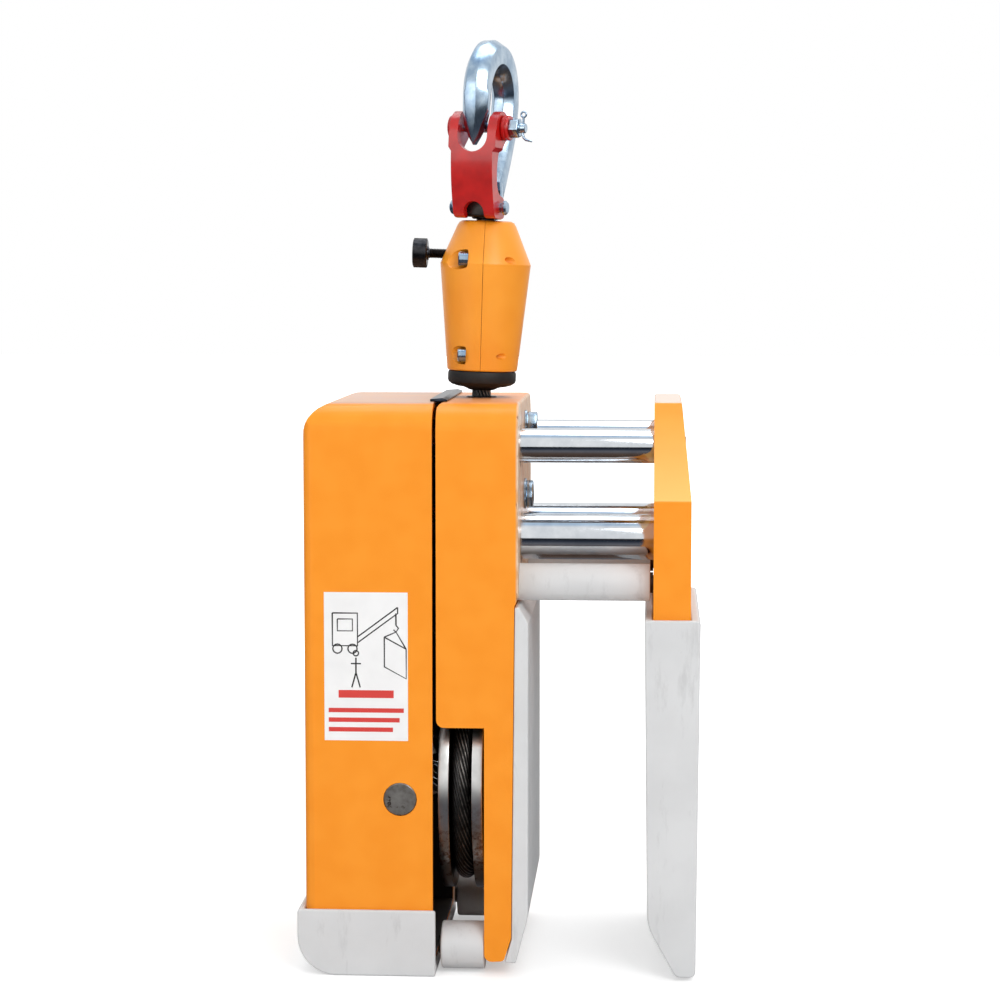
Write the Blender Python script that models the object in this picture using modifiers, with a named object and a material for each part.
"""Plate lifting clamp, standing on its boot with the jaws open.

Pulling the hook draws the wire rope off the drum. The drum turns a steep screw
spindle, whose nut hangs in the rear casing on two trunnion pins, so the rear
casing, the four guide rods and the outer jaw slide to the left together and the
jaws close. Metres, +Z up, +X towards the outer jaw, +Y towards the back.
"""
import math

import bmesh
import bpy
from mathutils import Matrix, Vector

# ---------------------------------------------------------------- driving sizes
GAP = 0.0003  # clearance between pieces that touch
DEPTH = 0.210  # front to back of both castings
HALF = DEPTH / 2
BODY_TOP = 0.470
TRAVEL = 0.055  # stroke of the jaw
LEVERAGE = 3.0  # rope pulled out for each millimetre of stroke

HOUSING_LEFT = -0.0515
HOUSING_RIGHT = 0.015
BEARING_WALL = -0.0125  # left face of the wall that carries the drum
NOTCH_TOP = 0.206
LEG_BOTTOM = 0.012
HOUSING_SKIN = 0.006
FRONT_ROUND = 0.024

CASING_LEFT = -0.160
CASING_RIGHT = -0.0547
CASING_WALL = 0.008
CASING_SKIN = 0.005
CASING_ROUND = 0.028
CASING_CORNER = 0.009  # left corners of the casing, seen from above
LARGE_ROUND_STEPS = 8

BOOT_TOP = 0.055
BOOT_FLOOR = 0.008
BOOT_SIDE = 0.006
BOOT_FRONT = 0.004
BOOT_RIGHT = -0.0523

JAW_LEFT = 0.1242
JAW_RIGHT = 0.1544
JAW_TIP_RIGHT = 0.1465
JAW_SHOULDER = 0.3914
JAW_TIP_HALF = 0.067
JAW_FOOT = 0.016
PAD_TOP = 0.296
PAD_INNER = 0.007
PAD_OUTER = 0.008
PAD_FRONT = 0.005
PAD_FOOT = 0.003
GRIP_FACE = 0.0234  # gripping face of the inner pad

UPPER_ROD = {"radius": 0.0140, "y": 0.0645, "z": 0.4335}
LOWER_ROD = {"radius": 0.0188, "y": 0.050, "z": 0.3574}
ROD_SEAT = 0.016  # how far a rod enters the jaw plate
BUSH_WALL = 0.003
BOSS_WALL = 0.006
BOSS_DEPTH = 0.012
GUARD_RADIUS = 0.0152
GUARD_BORE = 0.0085
GUARD_Y = 0.075
GUARD_Z = 0.3226

SPINDLE_Z = 0.1465
SPINDLE_RADIUS = 0.018
SPINDLE_ROOT = 0.0155
SPINDLE_STARTS = 6
JOURNAL_RADIUS = 0.015
DRUM_RADIUS = 0.095
DRUM_LEFT = -0.0514
DRUM_RIGHT = -0.0148
RIM_WALL = 0.009
HUB_RADIUS = 0.032
RIM_DEPTH = 0.031
NUT_X = -0.0812
NUT_HALF = Vector((0.013, 0.037, 0.030))
TRUNNION_RADIUS = 0.0135
TRUNNION_SEAT = 0.008

ROPE_RADIUS = 0.008
ROPE_X = -0.0215
ROPE_JOINT = 0.0008  # between two lengths of the one rope
ROLLER_RADIUS = 0.0117
ROLLER_Z = 0.285
SLEEVE_RADIUS = 0.0195
SLEEVE_Y = 0.085
SLEEVE_Z = 0.0215
SPRING_Z = 0.270
SPRING_RADIUS = 0.011
SPRING_WIRE = 0.0015

LEAN = math.radians(1.9)  # the bell leans on its slack rope
BELL_Z = BODY_TOP + 0.008  # underside of the bumper, the bell's own zero
BELL_FOOT = 0.0146
BELL_SHOULDER = 0.1037
BELL_TOP = 0.1397
BELL_BORE = 0.020
BELL_SKIN = 0.0075
SHANK_RADIUS = 0.009
THUMB_Z = 0.1113
THUMB_END = -0.0190  # where the screw meets its pressure pad
THUMB_RADIUS = 0.0042
THREAD_PITCH = 0.00125
HOOK_TURN = math.radians(16)
BOWL_Z = 0.242
BOWL_RADIUS = 0.035
PIVOT_V = -0.017
PIVOT_Z = 0.1505
LOCK_V = -0.0235
LOCK_Z = 0.2158
BOLT_RADIUS = 0.004
CHEEK_INNER = 0.0136
CHEEK_OUTER = 0.0205

# ---------------------------------------------------------------- worked out
GROOVE_X = (DRUM_LEFT + DRUM_RIGHT) / 2
GROOVE_FLOOR = DRUM_RADIUS - 0.0235
PITCH_RADIUS = GROOVE_FLOOR + ROPE_RADIUS
DRUM_ANGLE = TRAVEL * LEVERAGE / PITCH_RADIUS
LEAD = TRAVEL * math.tau / DRUM_ANGLE
ROLLER_PITCH = ROLLER_RADIUS + GAP + ROPE_RADIUS
PLATE_LEFT = HOUSING_LEFT + GAP
PLATE_THICK = 0.004
CASING_INNER = CASING_LEFT + CASING_WALL

for thing in list(bpy.data.objects):
    bpy.data.objects.remove(thing, do_unlink=True)

PARTS = bpy.data.collections.new("plate_lifting_clamp")
CUTTERS = bpy.data.collections.new("cutters")
for group in (PARTS, CUTTERS):
    bpy.context.scene.collection.children.link(group)


# ---------------------------------------------------------------- materials
def material(name, hex_colour, roughness, metallic=0.0):
    """A Principled material from an sRGB colour."""
    made = bpy.data.materials.new(name)
    made.use_nodes = True
    shader = made.node_tree.nodes["Principled BSDF"]
    channels = [int(hex_colour[i:i + 2], 16) / 255 for i in (0, 2, 4)]
    linear = [c / 12.92 if c <= 0.04045 else ((c + 0.055) / 1.055) ** 2.4 for c in channels]
    shader.inputs["Base Color"].default_value = (*linear, 1.0)
    shader.inputs["Roughness"].default_value = roughness
    shader.inputs["Metallic"].default_value = metallic
    return made


ORANGE = material("orange_paint", "FE9A2E", 0.35)
RED = material("red_paint", "D8201A", 0.30)
PALE_RUBBER = material("pale_rubber", "D6D6D4", 0.60)
BLACK_RUBBER = material("black_rubber", "1E1C1B", 0.65)
CHROME = material("chrome", "D9DADC", 0.12, 1.0)
ZINC = material("zinc_plate", "AEBFCD", 0.30, 1.0)
STEEL = material("steel", "8E8D8B", 0.40, 1.0)
DARK_STEEL = material("dark_steel", "55524F", 0.45, 1.0)
ROPE = material("wire_rope", "3A3634", 0.50, 1.0)
BRONZE = material("bronze", "A9793F", 0.35, 1.0)
BLACK_OXIDE = material("black_oxide", "252525", 0.45, 0.6)

# ---------------------------------------------------------------- bodies
UPRIGHT = Matrix.Identity(4)
BELL_FRAME = Matrix.Translation((ROPE_X, 0, BELL_Z)) @ Matrix.Rotation(LEAN, 4, "Y")
HOOK_FRAME = BELL_FRAME @ Matrix.Rotation(-HOOK_TURN, 4, "Z")
BODIES = {}


def body(name, frame, pivot, parent=None):
    """An empty on the joint's axis; pieces are then written in the body's own frame."""
    empty = bpy.data.objects.new("body_" + name, None)
    empty.empty_display_size = 0.03
    PARTS.objects.link(empty)
    world = frame @ Matrix.Translation(pivot)
    if parent:
        empty.parent = BODIES[parent]["empty"]
        empty.matrix_basis = BODIES[parent]["world"].inverted() @ world
    else:
        empty.matrix_basis = world
    BODIES[name] = {"empty": empty, "world": world, "pivot": Vector(pivot)}


body("housing", UPRIGHT, (0, 0, 0))
body("carriage", UPRIGHT, (NUT_X, 0, SPINDLE_Z), "housing")
body("drum", UPRIGHT, (GROOVE_X, 0, SPINDLE_Z), "housing")
body("roller", UPRIGHT, (ROPE_X, ROLLER_PITCH, ROLLER_Z), "housing")
body("bell", BELL_FRAME, (0, 0, 0), "housing")
body("pad", BELL_FRAME, (THUMB_END, 0, THUMB_Z), "bell")
body("thumb", BELL_FRAME, (THUMB_END, 0, THUMB_Z), "pad")
body("hook", HOOK_FRAME, (0, 0, BELL_TOP), "bell")
body("latch", HOOK_FRAME, (0, PIVOT_V, PIVOT_Z), "hook")


def place(thing, owner, finish=None):
    """Parent a piece to its body, or put it with the cutters when it has no finish."""
    thing.parent = BODIES[owner]["empty"]
    thing.location = thing.location - BODIES[owner]["pivot"]
    thing["owner"] = owner
    if finish:
        thing.data.materials.append(finish)
        PARTS.objects.link(thing)
        return thing
    CUTTERS.objects.link(thing)
    thing.hide_render = True
    thing.display_type = "WIRE"
    return thing


# ---------------------------------------------------------------- shapes
AXES = {
    "X": Matrix(((0, 0, 1, 0), (1, 0, 0, 0), (0, 1, 0, 0), (0, 0, 0, 1))),
    "Y": Matrix(((1, 0, 0, 0), (0, 0, -1, 0), (0, 1, 0, 0), (0, 0, 0, 1))),
    "Z": Matrix.Identity(4),
}


def finished_mesh(name, bm):
    """A mesh with welded points, outward faces and smooth round sides."""
    bmesh.ops.remove_doubles(bm, verts=bm.verts, dist=0.000001)
    bmesh.ops.recalc_face_normals(bm, faces=bm.faces)
    mesh = bpy.data.meshes.new(name)
    bm.to_mesh(mesh)
    bm.free()
    mesh.shade_smooth()
    mesh.set_sharp_from_angle(angle=math.radians(35))
    return mesh


def box(name, owner, low, high, finish=None):
    bm = bmesh.new()
    bmesh.ops.create_cube(bm, size=1.0)
    size = Vector(high) - Vector(low)
    middle = (Vector(high) + Vector(low)) / 2
    bmesh.ops.scale(bm, vec=size, verts=bm.verts)
    bmesh.ops.translate(bm, vec=middle, verts=bm.verts)
    return place(bpy.data.objects.new(name, finished_mesh(name, bm)), owner, finish)


def bar(name, owner, axis, centre, radius, low, high, finish=None, sides=20, far_radius=None):
    """A round bar, cone or, with six sides, a hexagon along one axis from low to high."""
    bm = bmesh.new()
    far_radius = radius if far_radius is None else far_radius
    bmesh.ops.create_cone(
        bm, cap_ends=True, segments=sides, radius1=radius, radius2=far_radius, depth=high - low)
    turn = {"X": Matrix.Rotation(math.pi / 2, 4, "Y"), "Y": Matrix.Rotation(-math.pi / 2, 4, "X"),
            "Z": Matrix.Identity(4)}[axis]
    where = Vector(centre)
    where["XYZ".index(axis)] = (low + high) / 2
    bmesh.ops.transform(bm, matrix=Matrix.Translation(where) @ turn, verts=bm.verts)
    return place(bpy.data.objects.new(name, finished_mesh(name, bm)), owner, finish)


def rounded(corners, steps=4):
    """Points of a closed outline; a corner is (u, v), or (u, v, radius) where it is round."""
    points = []
    for index, corner in enumerate(corners):
        here = Vector(corner[:2])
        if len(corner) == 2:
            points.append(here)
            continue
        before = (Vector(corners[index - 1][:2]) - here).normalized()
        after = (Vector(corners[(index + 1) % len(corners)][:2]) - here).normalized()
        half = before.angle(after) / 2
        reach = corner[2] / math.tan(half)
        middle = here + (before + after).normalized() * corner[2] / math.sin(half)
        start = here + before * reach - middle
        sweep = start.angle_signed(here + after * reach - middle)
        for step in range(steps + 1):
            turned_by = Matrix.Rotation(-sweep * step / steps, 2)
            points.append(middle + turned_by @ start)
    return points


def prism(name, owner, axis, corners, low, high, finish=None, steps=4):
    """A flat outline made thick along an axis: (x, z) along Y, (y, z) along X, (x, y) along Z."""
    outline = bpy.data.curves.new(name + "_outline", "CURVE")
    outline.dimensions = "2D"
    outline.fill_mode = "BOTH"
    outline.extrude = (high - low) / 2
    points = rounded(corners, steps)
    spline = outline.splines.new("POLY")
    spline.points.add(len(points) - 1)
    for knot, point in zip(spline.points, points):
        knot.co = (point.x, point.y, 0, 1)
    spline.use_cyclic_u = True
    guide = bpy.data.objects.new(name + "_outline", outline)
    CUTTERS.objects.link(guide)
    mesh = bpy.data.meshes.new_from_object(guide.evaluated_get(bpy.context.evaluated_depsgraph_get()))
    bpy.data.objects.remove(guide)
    bm = bmesh.new()
    bm.from_mesh(mesh)
    middle = Vector((0, 0, 0))
    middle["XYZ".index(axis)] = (low + high) / 2
    bmesh.ops.transform(bm, matrix=Matrix.Translation(middle) @ AXES[axis], verts=bm.verts)
    bmesh.ops.remove_doubles(bm, verts=bm.verts, dist=0.000001)
    bmesh.ops.dissolve_limit(bm, angle_limit=0.001, verts=bm.verts, edges=bm.edges)
    return place(bpy.data.objects.new(name, finished_mesh(name, bm)), owner, finish)


def turned(name, owner, axis, centre, profile, finish=None, sides=20):
    """A profile of (radius, place along the axis) turned full circle with a Screw modifier."""
    area = sum(a[0] * b[1] - b[0] * a[1] for a, b in zip(profile, profile[1:] + profile[:1]))
    ordered = profile if area < 0 else profile[::-1]
    bm = bmesh.new()
    ring = [bm.verts.new((radius, 0, along)) for radius, along in ordered]
    for here, there in zip(ring, ring[1:] + ring[:1]):
        bm.edges.new((here, there))
    mesh = bpy.data.meshes.new(name)
    bm.to_mesh(mesh)
    bm.free()
    made = bpy.data.objects.new(name, mesh)
    lathe = made.modifiers.new("turned", "SCREW")
    lathe.steps = sides
    lathe.render_steps = sides
    lathe.use_merge_vertices = True
    lathe.merge_threshold = 0.000001
    lathe.use_smooth_shade = True
    made.location = centre
    made.rotation_euler = {"X": (0, math.pi / 2, 0), "Y": (-math.pi / 2, 0, 0), "Z": (0, 0, 0)}[axis]
    return place(made, owner, finish)


def ring(name, owner, axis, centre, inner, outer, low, high, finish=None, sides=20):
    """A plain tube, bush or washer."""
    profile = [(inner, low), (inner, high), (outer, high), (outer, low)]
    return turned(name, owner, axis, centre, profile, finish, sides)


def wire(name, owner, points, radius, finish, resolution=2):
    """A round bar bent along a list of points."""
    curve = bpy.data.curves.new(name, "CURVE")
    curve.dimensions = "3D"
    curve.bevel_depth = radius
    curve.bevel_resolution = resolution
    curve.use_fill_caps = True
    spline = curve.splines.new("POLY")
    spline.points.add(len(points) - 1)
    for knot, point in zip(spline.points, points):
        knot.co = (*point, 1)
    return place(bpy.data.objects.new(name, curve), owner, finish)


def combine(target, tool, operation):
    """Cut, join or keep the common part of a piece and a helper."""
    step = target.modifiers.new(operation.lower(), "BOOLEAN")
    step.operation = operation
    step.solver = "EXACT"
    step.object = tool


def cut(target, tool):
    combine(target, tool, "DIFFERENCE")


def join(target, tool):
    combine(target, tool, "UNION")


def bore(target, axis, centre, radius, low, high, sides=20):
    """A round hole through a piece, in that piece's own body frame."""
    cut(target, bar("bore", target["owner"], axis, centre, radius, low, high, None, sides))


def boss(target, axis, centre, radius, low, high, sides=20):
    join(target, bar("boss", target["owner"], axis, centre, radius, low, high, None, sides))


RODS = {}
for level, rod in (("upper", UPPER_ROD), ("lower", LOWER_ROD)):
    for side, sign in (("front", -1), ("rear", 1)):
        RODS[level + "_" + side] = (rod["radius"], sign * rod["y"], rod["z"])
SIDES = {"front": -1, "rear": 1}


# ---------------------------------------------------------------- inner jaw and its housing
def rounded_front(name, owner, low, high, inset=0.0):
    """The castings' end view, from front to back, with round top corners."""
    reach = HALF - inset
    radius = FRONT_ROUND - inset
    corners = [(-reach, -0.01), (reach, -0.01), (reach, BODY_TOP - inset, radius),
               (-reach, BODY_TOP - inset, radius)]
    return prism(name, owner, "X", corners, low, high, steps=LARGE_ROUND_STEPS)


def inner_jaw_housing():
    face = [(HOUSING_RIGHT, 0.312, 0.004), (0.0120, 0.306, 0.003), (0.0095, 0.032, 0.006),
            (0.0035, LEG_BOTTOM + 0.001, 0.004)]
    outline = [(HOUSING_LEFT, BODY_TOP, 0.006), (HOUSING_RIGHT, BODY_TOP, 0.003), *face,
               (BEARING_WALL, LEG_BOTTOM, 0.006), (BEARING_WALL, NOTCH_TOP),
               (HOUSING_LEFT, NOTCH_TOP, 0.006)]
    housing = prism("inner_jaw_housing", "housing", "Y", outline, -HALF, HALF, ORANGE)
    combine(housing, rounded_front("housing_front", "housing", -0.10, 0.10), "INTERSECT")
    hollow = box("housing_hollow", "housing", (HOUSING_LEFT - 0.02, -0.2, NOTCH_TOP - 0.03),
                 (BEARING_WALL, 0.2, BODY_TOP - HOUSING_SKIN))
    combine(hollow, rounded_front("hollow_front", "housing", -0.12, 0.10, HOUSING_SKIN), "INTERSECT")
    cut(housing, hollow)
    for radius, y, z in RODS.values():
        bore(housing, "X", (0, y, z), radius + BUSH_WALL + 2 * GAP, -0.03, 0.03)
    for sign in SIDES.values():
        bore(housing, "X", (0, sign * GUARD_Y, GUARD_Z), GUARD_RADIUS + GAP, -0.03, 0.03)
        bore(housing, "X", (0, sign * SLEEVE_Y, SLEEVE_Z), 0.004 + GAP, -0.03, 0.002, 16)
    bore(housing, "X", (0, 0, SPINDLE_Z), JOURNAL_RADIUS + 0.005 + GAP, -0.03, 0.005)
    bore(housing, "Z", (ROPE_X, 0, 0), 0.0133, 0.45, 0.48)
    bore(housing, "X", (0, ROLLER_PITCH, ROLLER_Z), 0.005 + GAP, -0.03, 0.0, 16)
    for y, z, radius in HOUSING_BOLTS.values():
        bore(housing, "X", (0, y, z), radius / 2 + GAP, 0.002, 0.03, 16)


def inner_pad():
    back = [(0.0042, 0.0115), (0.0098, 0.0316), (0.01228, 0.3050), (0.0160, 0.3050)]
    outline = [*back, (GRIP_FACE, 0.292, 0.004), (GRIP_FACE, 0.050, 0.030), (0.0135, 0.0115, 0.002)]
    prism("inner_pad", "housing", "Y", outline, -HALF, HALF, PALE_RUBBER)


def rod_bushes():
    for place_name, (radius, y, z) in RODS.items():
        ring("rod_bush_" + place_name, "housing", "X", (0, y, z), radius + GAP,
             radius + GAP + BUSH_WALL, BEARING_WALL, HOUSING_RIGHT, BRONZE)


def side_plate():
    low = (PLATE_LEFT, -HALF + HOUSING_SKIN + GAP, 0.248)
    high = (PLATE_LEFT + PLATE_THICK, HALF - HOUSING_SKIN - GAP, BODY_TOP - HOUSING_SKIN - GAP)
    plate = box("side_plate", "housing", low, high, STEEL)
    inset = HOUSING_SKIN + GAP
    combine(plate, rounded_front("plate_front", "housing", -0.12, 0.10, inset), "INTERSECT")
    for radius, y, z in RODS.values():
        bore(plate, "X", (0, y, z), radius + 0.0015, -0.06, -0.03)
    for sign in SIDES.values():
        bore(plate, "X", (0, sign * GUARD_Y, GUARD_Z), GUARD_RADIUS + 0.0015, -0.06, -0.03)
    boss(plate, "X", (0, 0, SPRING_Z), SPRING_RADIUS - 2 * SPRING_WIRE, PLATE_LEFT - 0.008,
         PLATE_LEFT + 0.001, 16)


HOUSING_BOLTS = {"upper": (0.006, 0.4495, 0.0083), "lower": (-0.004, 0.3890, 0.0115)}


def housing_bolts():
    """Bolts that hold the side plate's spacers; their heads stand on the jaw side."""
    for level, (y, z, radius) in HOUSING_BOLTS.items():
        head = 0.0105 if level == "upper" else 0.0075
        bolt = bar("housing_bolt_" + level, "housing", "X", (0, y, z), radius,
                   HOUSING_RIGHT + GAP, HOUSING_RIGHT + GAP + head, ZINC, 6)
        boss(bolt, "X", (0, y, z), radius / 2, 0.0025, HOUSING_RIGHT + 0.002, 16)


def bumper_sleeves():
    for side, sign in SIDES.items():
        centre = (0, sign * SLEEVE_Y, SLEEVE_Z)
        ring("bumper_sleeve_" + side, "housing", "X", centre, 0.004 + GAP, SLEEVE_RADIUS,
             HOUSING_LEFT + 0.003, BEARING_WALL - GAP, PALE_RUBBER)
        bolt = bar("bumper_bolt_" + side, "housing", "X", centre, 0.008, HOUSING_LEFT + GAP,
                   HOUSING_LEFT + 0.003 - GAP, DARK_STEEL, 24)
        boss(bolt, "X", centre, 0.004, HOUSING_LEFT + 0.001, 0.0015, 16)


def gap_strap():
    """Black strip over the joint between the castings, with a tab turned down at the front."""
    outline = [(-0.0580, BODY_TOP + GAP), (-0.0440, BODY_TOP + GAP), (-0.0440, BODY_TOP + 0.0018),
               (-0.0480, BODY_TOP + 0.0030), (-0.0580, BODY_TOP + 0.0022)]
    reach = HALF - FRONT_ROUND
    prism("gap_strap", "housing", "Y", outline, -reach, reach, BLACK_RUBBER)


def rope_guides():
    profile = [(0.0083, 0.4600), (0.0083, 0.4715), (0.0160, 0.4715), (0.0160, BODY_TOP + GAP),
               (0.0130, BODY_TOP + GAP), (0.0130, 0.4600)]
    turned("rope_guide_bush", "housing", "Z", (ROPE_X, 0, 0), profile, BLACK_OXIDE)
    centre = (0, ROLLER_PITCH, ROLLER_Z)
    bar("roller_pin", "housing", "X", centre, 0.005, PLATE_LEFT + PLATE_THICK + GAP, -0.0008,
        STEEL, 16)
    ring("guide_roller", "roller", "X", centre, 0.005 + GAP, ROLLER_RADIUS, -0.0380,
         BEARING_WALL - 0.0007, STEEL)


def spindle_bush():
    inner = JOURNAL_RADIUS + GAP
    outer = JOURNAL_RADIUS + 0.005
    profile = [(inner, DRUM_RIGHT + GAP), (0.030, DRUM_RIGHT + GAP), (0.030, BEARING_WALL - GAP),
               (outer, BEARING_WALL - GAP), (outer, 0.0047), (inner, 0.0047)]
    turned("spindle_bush", "housing", "X", (0, 0, SPINDLE_Z), profile, BRONZE)


# ---------------------------------------------------------------- drum, spindle and rope
def rope_drum():
    web = 0.0084
    profile = [(JOURNAL_RADIUS + GAP, DRUM_LEFT), (HUB_RADIUS, DRUM_LEFT), (HUB_RADIUS, DRUM_LEFT + web),
               (DRUM_RADIUS - RIM_DEPTH, DRUM_LEFT + web), (DRUM_RADIUS - RIM_DEPTH, DRUM_LEFT),
               (DRUM_RADIUS, DRUM_LEFT), (DRUM_RADIUS, DRUM_LEFT + RIM_WALL),
               (GROOVE_FLOOR - GAP, DRUM_LEFT + RIM_WALL), (GROOVE_FLOOR - GAP, DRUM_RIGHT - RIM_WALL),
               (DRUM_RADIUS, DRUM_RIGHT - RIM_WALL), (DRUM_RADIUS, DRUM_RIGHT),
               (DRUM_RADIUS - RIM_DEPTH, DRUM_RIGHT), (DRUM_RADIUS - RIM_DEPTH, DRUM_RIGHT - web),
               (HUB_RADIUS, DRUM_RIGHT - web), (HUB_RADIUS, DRUM_RIGHT), (JOURNAL_RADIUS + GAP, DRUM_RIGHT)]
    turned("rope_drum", "drum", "X", (0, 0, SPINDLE_Z), profile, STEEL, 32)


def screw_spindle():
    """A steep right-hand screw with many starts, and a plain journal through the drum."""
    start = CASING_INNER + 0.0015
    end = DRUM_LEFT - GAP
    steps = 16
    bm = bmesh.new()
    points = []
    for start_index in range(SPINDLE_STARTS):
        for share, radius in ((0.0, SPINDLE_RADIUS), (0.42, SPINDLE_RADIUS), (0.58, SPINDLE_ROOT),
                              (0.84, SPINDLE_ROOT)):
            angle = (start_index + share) * math.tau / SPINDLE_STARTS
            points.append(bm.verts.new((start, radius * math.cos(angle), radius * math.sin(angle))))
    loop = [bm.edges.new((a, b)) for a, b in zip(points, points[1:] + points[:1])]
    swept = bmesh.ops.spin(
        bm, geom=loop, cent=(0, 0, 0), axis=(1, 0, 0), dvec=((end - start) / steps, 0, 0),
        angle=math.tau * (end - start) / LEAD, steps=steps)
    bmesh.ops.contextual_create(bm, geom=loop)
    last = [item for item in swept["geom_last"] if isinstance(item, bmesh.types.BMEdge)]
    bmesh.ops.contextual_create(bm, geom=last)
    bmesh.ops.translate(bm, vec=(0, 0, SPINDLE_Z), verts=bm.verts)
    spindle = bpy.data.objects.new("screw_spindle", finished_mesh("screw_spindle", bm))
    place(spindle, "drum", CHROME)
    boss(spindle, "X", (0, 0, SPINDLE_Z), JOURNAL_RADIUS, end - 0.002, 0.0044)


def drum_point(angle):
    """A place on the rope's circle round the drum; 0 is at the back and angles rise upwards."""
    return Vector((GROOVE_X, PITCH_RADIUS * math.cos(angle),
                   SPINDLE_Z + PITCH_RADIUS * math.sin(angle)))


def rope():
    """One rope in three lengths: on the drum, over the roller, and up to the bell."""
    centre = Vector((0, ROLLER_PITCH, ROLLER_Z))
    drum = Vector((0, 0, SPINDLE_Z))
    apart = (centre - drum).length
    rise = math.atan2(ROLLER_Z - SPINDLE_Z, ROLLER_PITCH)
    leave = rise - math.acos((PITCH_RADIUS + ROLLER_PITCH) / apart)
    end = math.radians(-280)
    first = leave - ROPE_JOINT / PITCH_RADIUS
    count = 36
    wrap = [drum_point(first + (end - first) * step / count) for step in range(count + 1)]
    wire("rope_wrap", "drum", wrap, ROPE_RADIUS, ROPE, 2)

    run = []
    contact = centre - ROLLER_PITCH * Vector((0, math.cos(leave), math.sin(leave)))
    start = drum_point(leave)
    for step in range(9):
        share = step / 8
        point = start.lerp(contact, share)
        point.x = GROOVE_X + (ROPE_X - GROOVE_X) * max(0.0, share - 0.5) ** 2
        run.append(point)
    bend = leave + math.pi
    for step in range(1, 7):
        angle = bend + (math.pi - bend) * step / 6
        x = run[8].x + (ROPE_X - run[8].x) * (step / 6) * 0.7
        run.append(Vector((x, centre.y + ROLLER_PITCH * math.cos(angle),
                           centre.z + ROLLER_PITCH * math.sin(angle))))
    run.append(Vector((ROPE_X, 0, ROLLER_Z + 0.012)))
    fall_low = ROLLER_Z + 0.016
    run.append(Vector((ROPE_X, 0, fall_low - GAP)))
    wire("rope_run", "housing", run, ROPE_RADIUS, ROPE, 2)

    to_bell = BELL_FRAME.inverted()
    fall = [to_bell @ Vector((ROPE_X, 0, z)) for z in (fall_low, 0.38, 0.462)]
    fall += [Vector((0, 0, z)) for z in (-0.004, 0.02, 0.056)]
    wire("rope_fall", "bell", fall, ROPE_RADIUS, ROPE, 2)


# ---------------------------------------------------------------- carriage
def rear_casing():
    outline = [(CASING_LEFT, BODY_TOP, CASING_ROUND), (CASING_RIGHT, BODY_TOP),
               (CASING_RIGHT, BOOT_FLOOR + GAP), (CASING_LEFT, BOOT_FLOOR + GAP, CASING_ROUND)]
    casing = prism("rear_casing", "carriage", "Y", outline, -HALF, HALF, ORANGE, LARGE_ROUND_STEPS)
    combine(casing, rounded_front("casing_front", "carriage", -0.2, 0.0), "INTERSECT")
    plan = [(CASING_LEFT, -HALF, CASING_CORNER), (0.0, -HALF), (0.0, HALF),
            (CASING_LEFT, HALF, CASING_CORNER)]
    combine(casing, prism("casing_plan", "carriage", "Z", plan, -0.1, 0.6), "INTERSECT")
    inner = CASING_ROUND - CASING_SKIN
    hollow_outline = [(CASING_INNER, BODY_TOP - CASING_SKIN, inner), (0.0, BODY_TOP - CASING_SKIN),
                      (0.0, BOOT_FLOOR + CASING_SKIN), (CASING_INNER, BOOT_FLOOR + CASING_SKIN, inner)]
    hollow = prism("casing_hollow", "carriage", "Y", hollow_outline, -0.2, 0.2)
    combine(hollow, rounded_front("hollow_front", "carriage", -0.2, 0.1, CASING_SKIN), "INTERSECT")
    cut(casing, hollow)
    for radius, y, z in RODS.values():
        outer = radius + BOSS_WALL
        boss(casing, "X", (0, y, z), outer, CASING_INNER - 0.002, CASING_INNER + BOSS_DEPTH, 24)
        bore(casing, "X", (0, y, z), radius + GAP, CASING_INNER, CASING_INNER + 0.02)
    boss(casing, "X", (0, 0, SPRING_Z), SPRING_RADIUS - 2 * SPRING_WIRE, CASING_INNER - 0.002,
         CASING_INNER + 0.008, 16)
    for sign in SIDES.values():
        ends = sorted((sign * (HALF - 0.001), sign * (HALF - 0.018)))
        boss(casing, "Y", (NUT_X, 0, SPINDLE_Z), TRUNNION_RADIUS + 0.007, *ends)
        ends = sorted((sign * (HALF + 0.01), sign * (HALF - 0.03)))
        bore(casing, "Y", (NUT_X, 0, SPINDLE_Z), TRUNNION_RADIUS + GAP, *ends)


def casing_boot():
    left = CASING_LEFT - BOOT_SIDE
    outline = [(left, BOOT_TOP, 0.003), (left, 0, CASING_ROUND + 0.004), (BOOT_RIGHT, 0, 0.002),
               (BOOT_RIGHT, BOOT_TOP)]
    reach = HALF + BOOT_FRONT
    boot = prism("casing_boot", "carriage", "Y", outline, -reach, reach, PALE_RUBBER, LARGE_ROUND_STEPS)
    inner = [(CASING_LEFT - GAP, 0.2), (CASING_LEFT - GAP, BOOT_FLOOR, CASING_ROUND),
             (0.0, BOOT_FLOOR), (0.0, 0.2)]
    cut(boot, prism("boot_hollow", "carriage", "Y", inner, -HALF - GAP, HALF + GAP,
                   steps=LARGE_ROUND_STEPS))


def guide_rods():
    for place_name, (radius, y, z) in RODS.items():
        rod = bar("guide_rod_" + place_name, "carriage", "X", (0, y, z), radius,
                  CASING_INNER + GAP, JAW_LEFT + ROD_SEAT - GAP, CHROME)
        bore(rod, "X", (0, y, z), 0.005 + GAP, JAW_LEFT - 0.012, JAW_LEFT + 0.03, 16)
        screw = bar("jaw_screw_" + place_name, "carriage", "X", (0, y, z), 0.005,
                    JAW_LEFT - 0.010, JAW_LEFT + 0.022, DARK_STEEL, 16)
        head_low = JAW_LEFT + 0.0195
        boss(screw, "X", (0, y, z), 0.008, head_low, head_low + 0.0065, 24)


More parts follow.
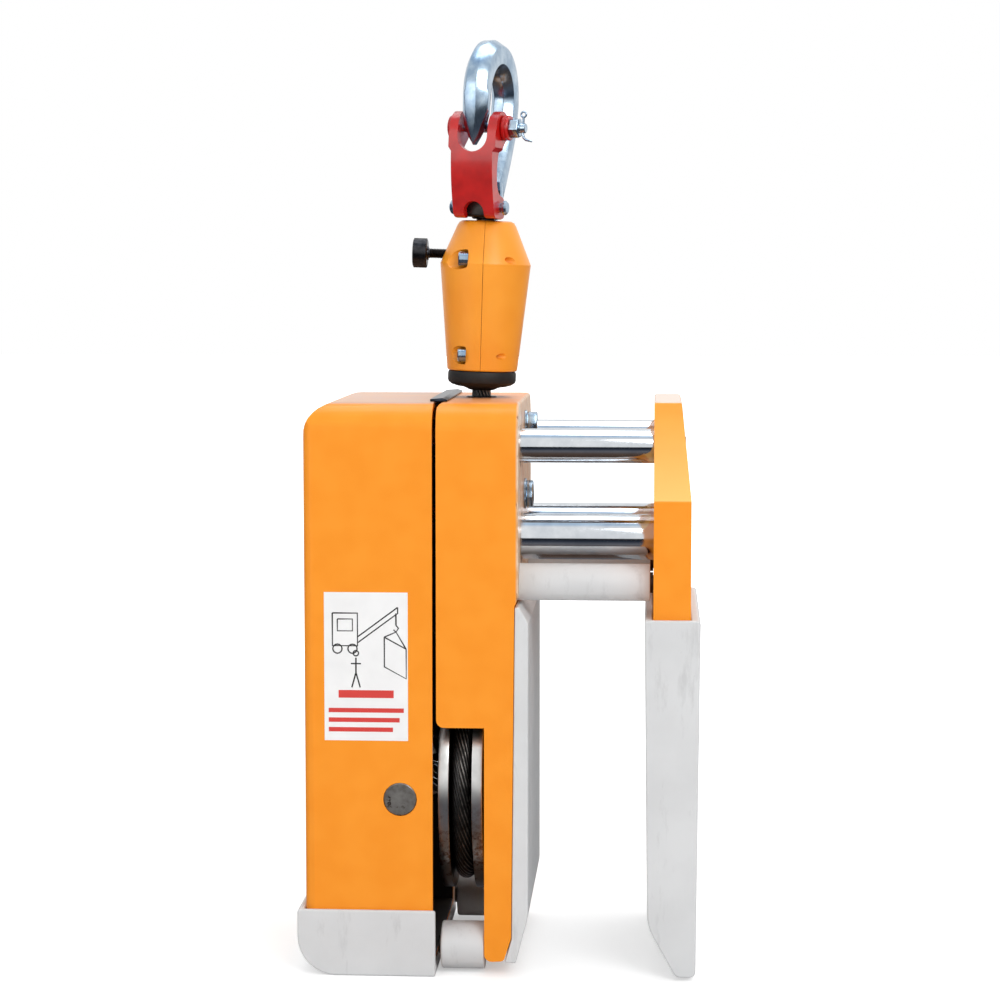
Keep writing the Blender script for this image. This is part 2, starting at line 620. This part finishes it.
def guard_tubes():
    """Soft tubes on steel cores, which keep the plate's edge off the rods."""
    for side, sign in SIDES.items():
        centre = (0, sign * GUARD_Y, GUARD_Z)
        ring("guard_tube_" + side, "carriage", "X", centre, GUARD_BORE + GAP, GUARD_RADIUS,
             -0.0090, JAW_LEFT - 0.0028, PALE_RUBBER)
        core = bar("guard_core_" + side, "carriage", "X", centre, GUARD_BORE, -0.0090,
                   JAW_LEFT - GAP, DARK_STEEL, 24)
        boss(core, "X", centre, 0.006, JAW_LEFT - 0.001, JAW_LEFT + 0.014, 16)


def outer_jaw_plate():
    outline = [(JAW_LEFT, BODY_TOP, 0.002), (JAW_TIP_RIGHT, BODY_TOP, 0.003),
               (JAW_RIGHT, JAW_SHOULDER, 0.010), (JAW_RIGHT, JAW_FOOT, 0.003),
               (JAW_LEFT + 0.020, JAW_FOOT), (JAW_LEFT, JAW_FOOT + 0.048, 0.020)]
    plate = prism("outer_jaw_plate", "carriage", "Y", outline, -HALF, HALF, ORANGE)
    face = [(-HALF, -0.01), (HALF, -0.01), (HALF, JAW_SHOULDER, 0.006),
            (JAW_TIP_HALF, BODY_TOP, 0.004), (-JAW_TIP_HALF, BODY_TOP, 0.004),
            (-HALF, JAW_SHOULDER, 0.006)]
    combine(plate, prism("jaw_face", "carriage", "X", face, 0.05, 0.20), "INTERSECT")
    for radius, y, z in RODS.values():
        bore(plate, "X", (0, y, z), radius + GAP, 0.10, JAW_LEFT + ROD_SEAT)
        bore(plate, "X", (0, y, z), 0.005 + GAP, 0.12, 0.17, 16)
        bore(plate, "X", (0, y, z), 0.008 + GAP, JAW_LEFT + 0.0192, 0.18, 24)
    for sign in SIDES.values():
        bore(plate, "X", (0, sign * GUARD_Y, GUARD_Z), 0.006 + GAP, 0.11, JAW_LEFT + 0.0145, 16)


def outer_pad():
    """A thick rubber shoe drawn over the lower part of the jaw plate."""
    left = JAW_LEFT - PAD_INNER
    right = JAW_RIGHT + PAD_OUTER
    outline = [(left, PAD_TOP, 0.002), (right, PAD_TOP, 0.003), (right - 0.0025, PAD_FOOT, 0.005),
               (0.1440, PAD_FOOT, 0.006), (0.1205, 0.045, 0.040)]
    reach = HALF + PAD_FRONT
    pad = prism("outer_pad", "carriage", "Y", outline, -reach, reach, PALE_RUBBER)
    inner = [(JAW_LEFT - GAP, 0.4), (JAW_RIGHT + GAP, 0.4), (JAW_RIGHT + GAP, JAW_FOOT - GAP),
             (JAW_LEFT + 0.0199, JAW_FOOT - GAP), (JAW_LEFT - GAP, JAW_FOOT + 0.0479, 0.020)]
    cut(pad, prism("pad_hollow", "carriage", "Y", inner, -HALF - GAP, HALF + GAP))


def trunnion_nut():
    middle = Vector((NUT_X, 0, SPINDLE_Z))
    nut = box("trunnion_nut", "carriage", middle - NUT_HALF, middle + NUT_HALF, BRONZE)
    bore(nut, "X", middle, SPINDLE_RADIUS + GAP, -0.2, 0.0)
    for side, sign in SIDES.items():
        seat = NUT_HALF.y - TRUNNION_SEAT
        ends = sorted((sign * seat, sign * (HALF + 0.01)))
        bore(nut, "Y", middle, TRUNNION_RADIUS + GAP, *ends)
        ends = sorted((sign * (seat + GAP), sign * (HALF + 0.0002)))
        bar("trunnion_pin_" + side, "carriage", "Y", middle, TRUNNION_RADIUS, *ends, DARK_STEEL)


def return_spring():
    """Extension spring that pulls the carriage back and so opens the jaws."""
    start = PLATE_LEFT - GAP - SPRING_WIRE
    end = CASING_INNER + GAP + SPRING_WIRE
    turns = 9
    per_turn = 9
    radius = SPRING_RADIUS - SPRING_WIRE + GAP
    count = turns * per_turn
    points = []
    for step in range(count + 1):
        angle = math.tau * step / per_turn
        points.append((start + (end - start) * step / count, radius * math.cos(angle),
                       SPRING_Z + radius * math.sin(angle)))
    wire("return_spring", "carriage", points, SPRING_WIRE - GAP / 2, STEEL, 1)


# ---------------------------------------------------------------- bell, hook and latch
def bell_halves():
    lower = BELL_FOOT + BELL_SKIN
    upper = BELL_TOP - 0.0137
    profile = [(0.012, BELL_FOOT), (0.0295, BELL_FOOT), (0.038, BELL_SHOULDER), (0.0233, BELL_TOP),
               (SHANK_RADIUS + GAP, BELL_TOP), (SHANK_RADIUS + GAP, upper), (BELL_BORE, upper),
               (BELL_BORE, lower), (0.012, lower)]
    for side, low, high in (("left", -0.06, -GAP / 2), ("right", GAP / 2, 0.06)):
        half = turned("bell_" + side, "bell", "Z", (0, 0, 0), profile, ORANGE, 32)
        keep = box("bell_split", "bell", (low, -0.06, -0.01), (high, 0.06, 0.2))
        combine(half, keep, "INTERSECT")
        for level, (y, z, radius) in BELL_SCREWS.items():
            bore(half, "X", (0, y, z), radius + GAP, -0.03, 0.06, 16)
            if side == "left":
                bore(half, "X", (0, y, z), 0.0062, -0.06, -0.0115, 20)
        if side == "left":
            bore(half, "X", (0, 0, THUMB_Z), THUMB_RADIUS + GAP, -0.06, 0.0, 16)


BELL_SCREWS = {"upper": (-0.0275, 0.1085, 0.0025), "lower": (-0.0245, 0.0275, 0.0022)}


def bell_screws():
    for level, (y, z, radius) in BELL_SCREWS.items():
        screw = bar("bell_screw_" + level, "bell", "X", (0, y, z), 0.0052, -0.0165, -0.0118, ZINC, 20)
        boss(screw, "X", (0, y, z), radius, -0.0125, 0.012, 16)


def bell_contents():
    lower = BELL_FOOT + BELL_SKIN + GAP
    ring("rope_socket", "bell", "Z", (0, 0, 0), ROPE_RADIUS + GAP, 0.0185, lower, 0.058, STEEL)
    profile = [(ROPE_RADIUS + GAP, -0.005), (0.0100, -0.005), (0.0125, 0.0004), (0.0265, 0.0006),
               (0.0287, 0.0030), (0.0287, 0.0125), (0.0272, BELL_FOOT - GAP),
               (ROPE_RADIUS + GAP, BELL_FOOT - GAP)]
    turned("rubber_bumper", "bell", "Z", (0, 0, 0), profile, BLACK_RUBBER)


def thumb_screw():
    centre = (0, 0, THUMB_Z)
    bar("pressure_pad", "pad", "X", centre, 0.005, THUMB_END, -0.0162, BRONZE, 20)
    screw = bar("thumb_screw", "thumb", "X", centre, THUMB_RADIUS, -0.0500, THUMB_END - GAP,
                BLACK_OXIDE, 16)
    boss(screw, "X", centre, 0.0122, -0.0615, -0.0489)


def hook_section(bm, place_v, place_z, along, width, thick):
    """An eight-sided section: flat crest, bevelled shoulders."""
    out = Vector((0, along.z, -along.y))
    side = Vector((1, 0, 0))
    middle = Vector((0, place_v, place_z))
    corners = []
    for a, b in ((1, 0.45), (0.55, 1), (-0.55, 1), (-1, 0.45), (-1, -0.45), (-0.55, -1), (0.55, -1),
                 (1, -0.45)):
        corners.append(bm.verts.new(middle + out * (a * width) + side * (b * thick)))
    return corners


def hook():
    """The open bowl is lofted along its centre line; the tip narrows into the latch."""
    line = [(0.000, 0.158, 0.0130, 0.0100), (0.009, 0.173, 0.0125, 0.0100),
            (0.022, 0.194, 0.0120, 0.0100), (0.031, 0.215, 0.0122, 0.0102)]
    for step in range(13):
        angle = math.radians(-15 + 195 * step / 12)
        width = 0.0122 + 0.0023 * math.sin(max(0.0, min(math.pi, angle)))
        line.append((BOWL_RADIUS * math.cos(angle), BOWL_Z + BOWL_RADIUS * math.sin(angle), width, 0.0105))
    line += [(-0.0355, 0.228, 0.0100, 0.0095), (-0.0362, 0.216, 0.0080, 0.0070),
             (-0.0365, 0.207, 0.0058, 0.0042), (-0.0366, 0.2005, 0.0036, 0.0016)]
    bm = bmesh.new()
    sections = []
    for index, (v, z, width, thick) in enumerate(line):
        before = line[max(0, index - 1)]
        after = line[min(len(line) - 1, index + 1)]
        along = Vector((0, after[0] - before[0], after[1] - before[1])).normalized()
        sections.append(hook_section(bm, v, z, along, width, thick))
    for first, second in zip(sections, sections[1:]):
        for index in range(8):
            other = (index + 1) % 8
            bm.faces.new((first[index], first[other], second[other], second[index]))
    bm.faces.new(sections[0])
    bm.faces.new(sections[-1])
    made = bpy.data.objects.new("hook", finished_mesh("hook", bm))
    place(made, "hook", ZINC)
    boss(made, "Z", (0, 0, 0), SHANK_RADIUS, BELL_TOP - 0.034, 0.150)
    boss(made, "Z", (0, 0, 0), 0.0128, BELL_TOP + 0.0015, 0.168)
    join(made, box("latch_lug", "hook", (-0.0129, -0.0235, 0.1425), (0.0129, 0.002, 0.1590)))
    bore(made, "X", (0, PIVOT_V, PIVOT_Z), BOLT_RADIUS + GAP, -0.03, 0.03, 20)


def hook_hardware():
    nut_top = BELL_TOP - 0.0137 - GAP
    ring("swivel_nut", "hook", "Z", (0, 0, 0), SHANK_RADIUS + GAP, 0.0138, BELL_TOP - 0.034, nut_top,
         STEEL)
    centre = (0, PIVOT_V, PIVOT_Z)
    pin = bar("pivot_pin", "hook", "X", centre, BOLT_RADIUS, -0.024, 0.023, ZINC, 20)
    boss(pin, "X", centre, 0.0068, -0.0270, -CHEEK_OUTER - GAP, 20)
    boss(pin, "X", centre, 0.0060, CHEEK_OUTER + GAP, 0.0240, 20)


def latch():
    outline = [(-0.031, 0.1413, 0.005), (-0.044, 0.190, 0.020), (-0.0400, 0.2295, 0.0130),
               (-0.0105, 0.2295, 0.0130), (-0.0075, 0.190), (-0.0075, 0.1413, 0.009)]
    made = prism("latch", "latch", "X", outline, -CHEEK_OUTER, CHEEK_OUTER, RED)
    pocket = [(-0.0243, 0.13), (-0.0243, 0.143), (-0.0365, 0.188), (-0.0365, 0.25), (0.01, 0.25),
              (0.01, 0.13)]
    cut(made, prism("latch_pocket", "latch", "X", pocket, -CHEEK_INNER, CHEEK_INNER))
    slot = [(-0.0133, 0.25), (-0.0133, 0.1954, 0.0129), (0.0133, 0.1954, 0.0129), (0.0133, 0.25)]
    cut(made, prism("latch_slot", "latch", "Y", slot, -0.07, 0.01))
    arch = [(-0.009, 0.12), (-0.009, 0.155, 0.008), (0.009, 0.155, 0.008), (0.009, 0.12)]
    cut(made, prism("latch_arch", "latch", "Y", arch, -0.07, -0.018))
    bore(made, "X", (0, PIVOT_V, PIVOT_Z), BOLT_RADIUS + GAP, -0.03, 0.03, 20)
    bore(made, "X", (0, LOCK_V, LOCK_Z), BOLT_RADIUS + GAP, -0.03, 0.03, 20)


def lock_bolt():
    centre = (0, LOCK_V, LOCK_Z)
    bolt = bar("lock_bolt", "latch", "X", centre, BOLT_RADIUS, -0.024, 0.040, ZINC, 20)
    boss(bolt, "X", centre, 0.0100, -0.0255, -CHEEK_OUTER - GAP, 24)
    bore(bolt, "Z", (0.0375, LOCK_V, 0), 0.0015 + GAP, 0.20, 0.23, 12)
    ring("lock_collar", "latch", "X", centre, BOLT_RADIUS + GAP, 0.0105, CHEEK_OUTER + GAP, 0.0268,
         RED, 24)
    nut = bar("lock_nut", "latch", "X", centre, 0.0085, 0.0271, 0.0345, ZINC, 6)
    bore(nut, "X", centre, BOLT_RADIUS + GAP, 0.02, 0.05, 20)
    bar("split_pin", "latch", "Z", (0.0375, LOCK_V, 0), 0.0015, LOCK_Z - 0.009, LOCK_Z + 0.009,
        ZINC, 12)


inner_jaw_housing()
inner_pad()
rod_bushes()
side_plate()
housing_bolts()
bumper_sleeves()
gap_strap()
rope_guides()
spindle_bush()
rope_drum()
screw_spindle()
rope()
rear_casing()
casing_boot()
guide_rods()
guard_tubes()
outer_jaw_plate()
outer_pad()
trunnion_nut()
return_spring()
bell_halves()
bell_screws()
bell_contents()
thumb_screw()
hook()
hook_hardware()
latch()
lock_bolt()
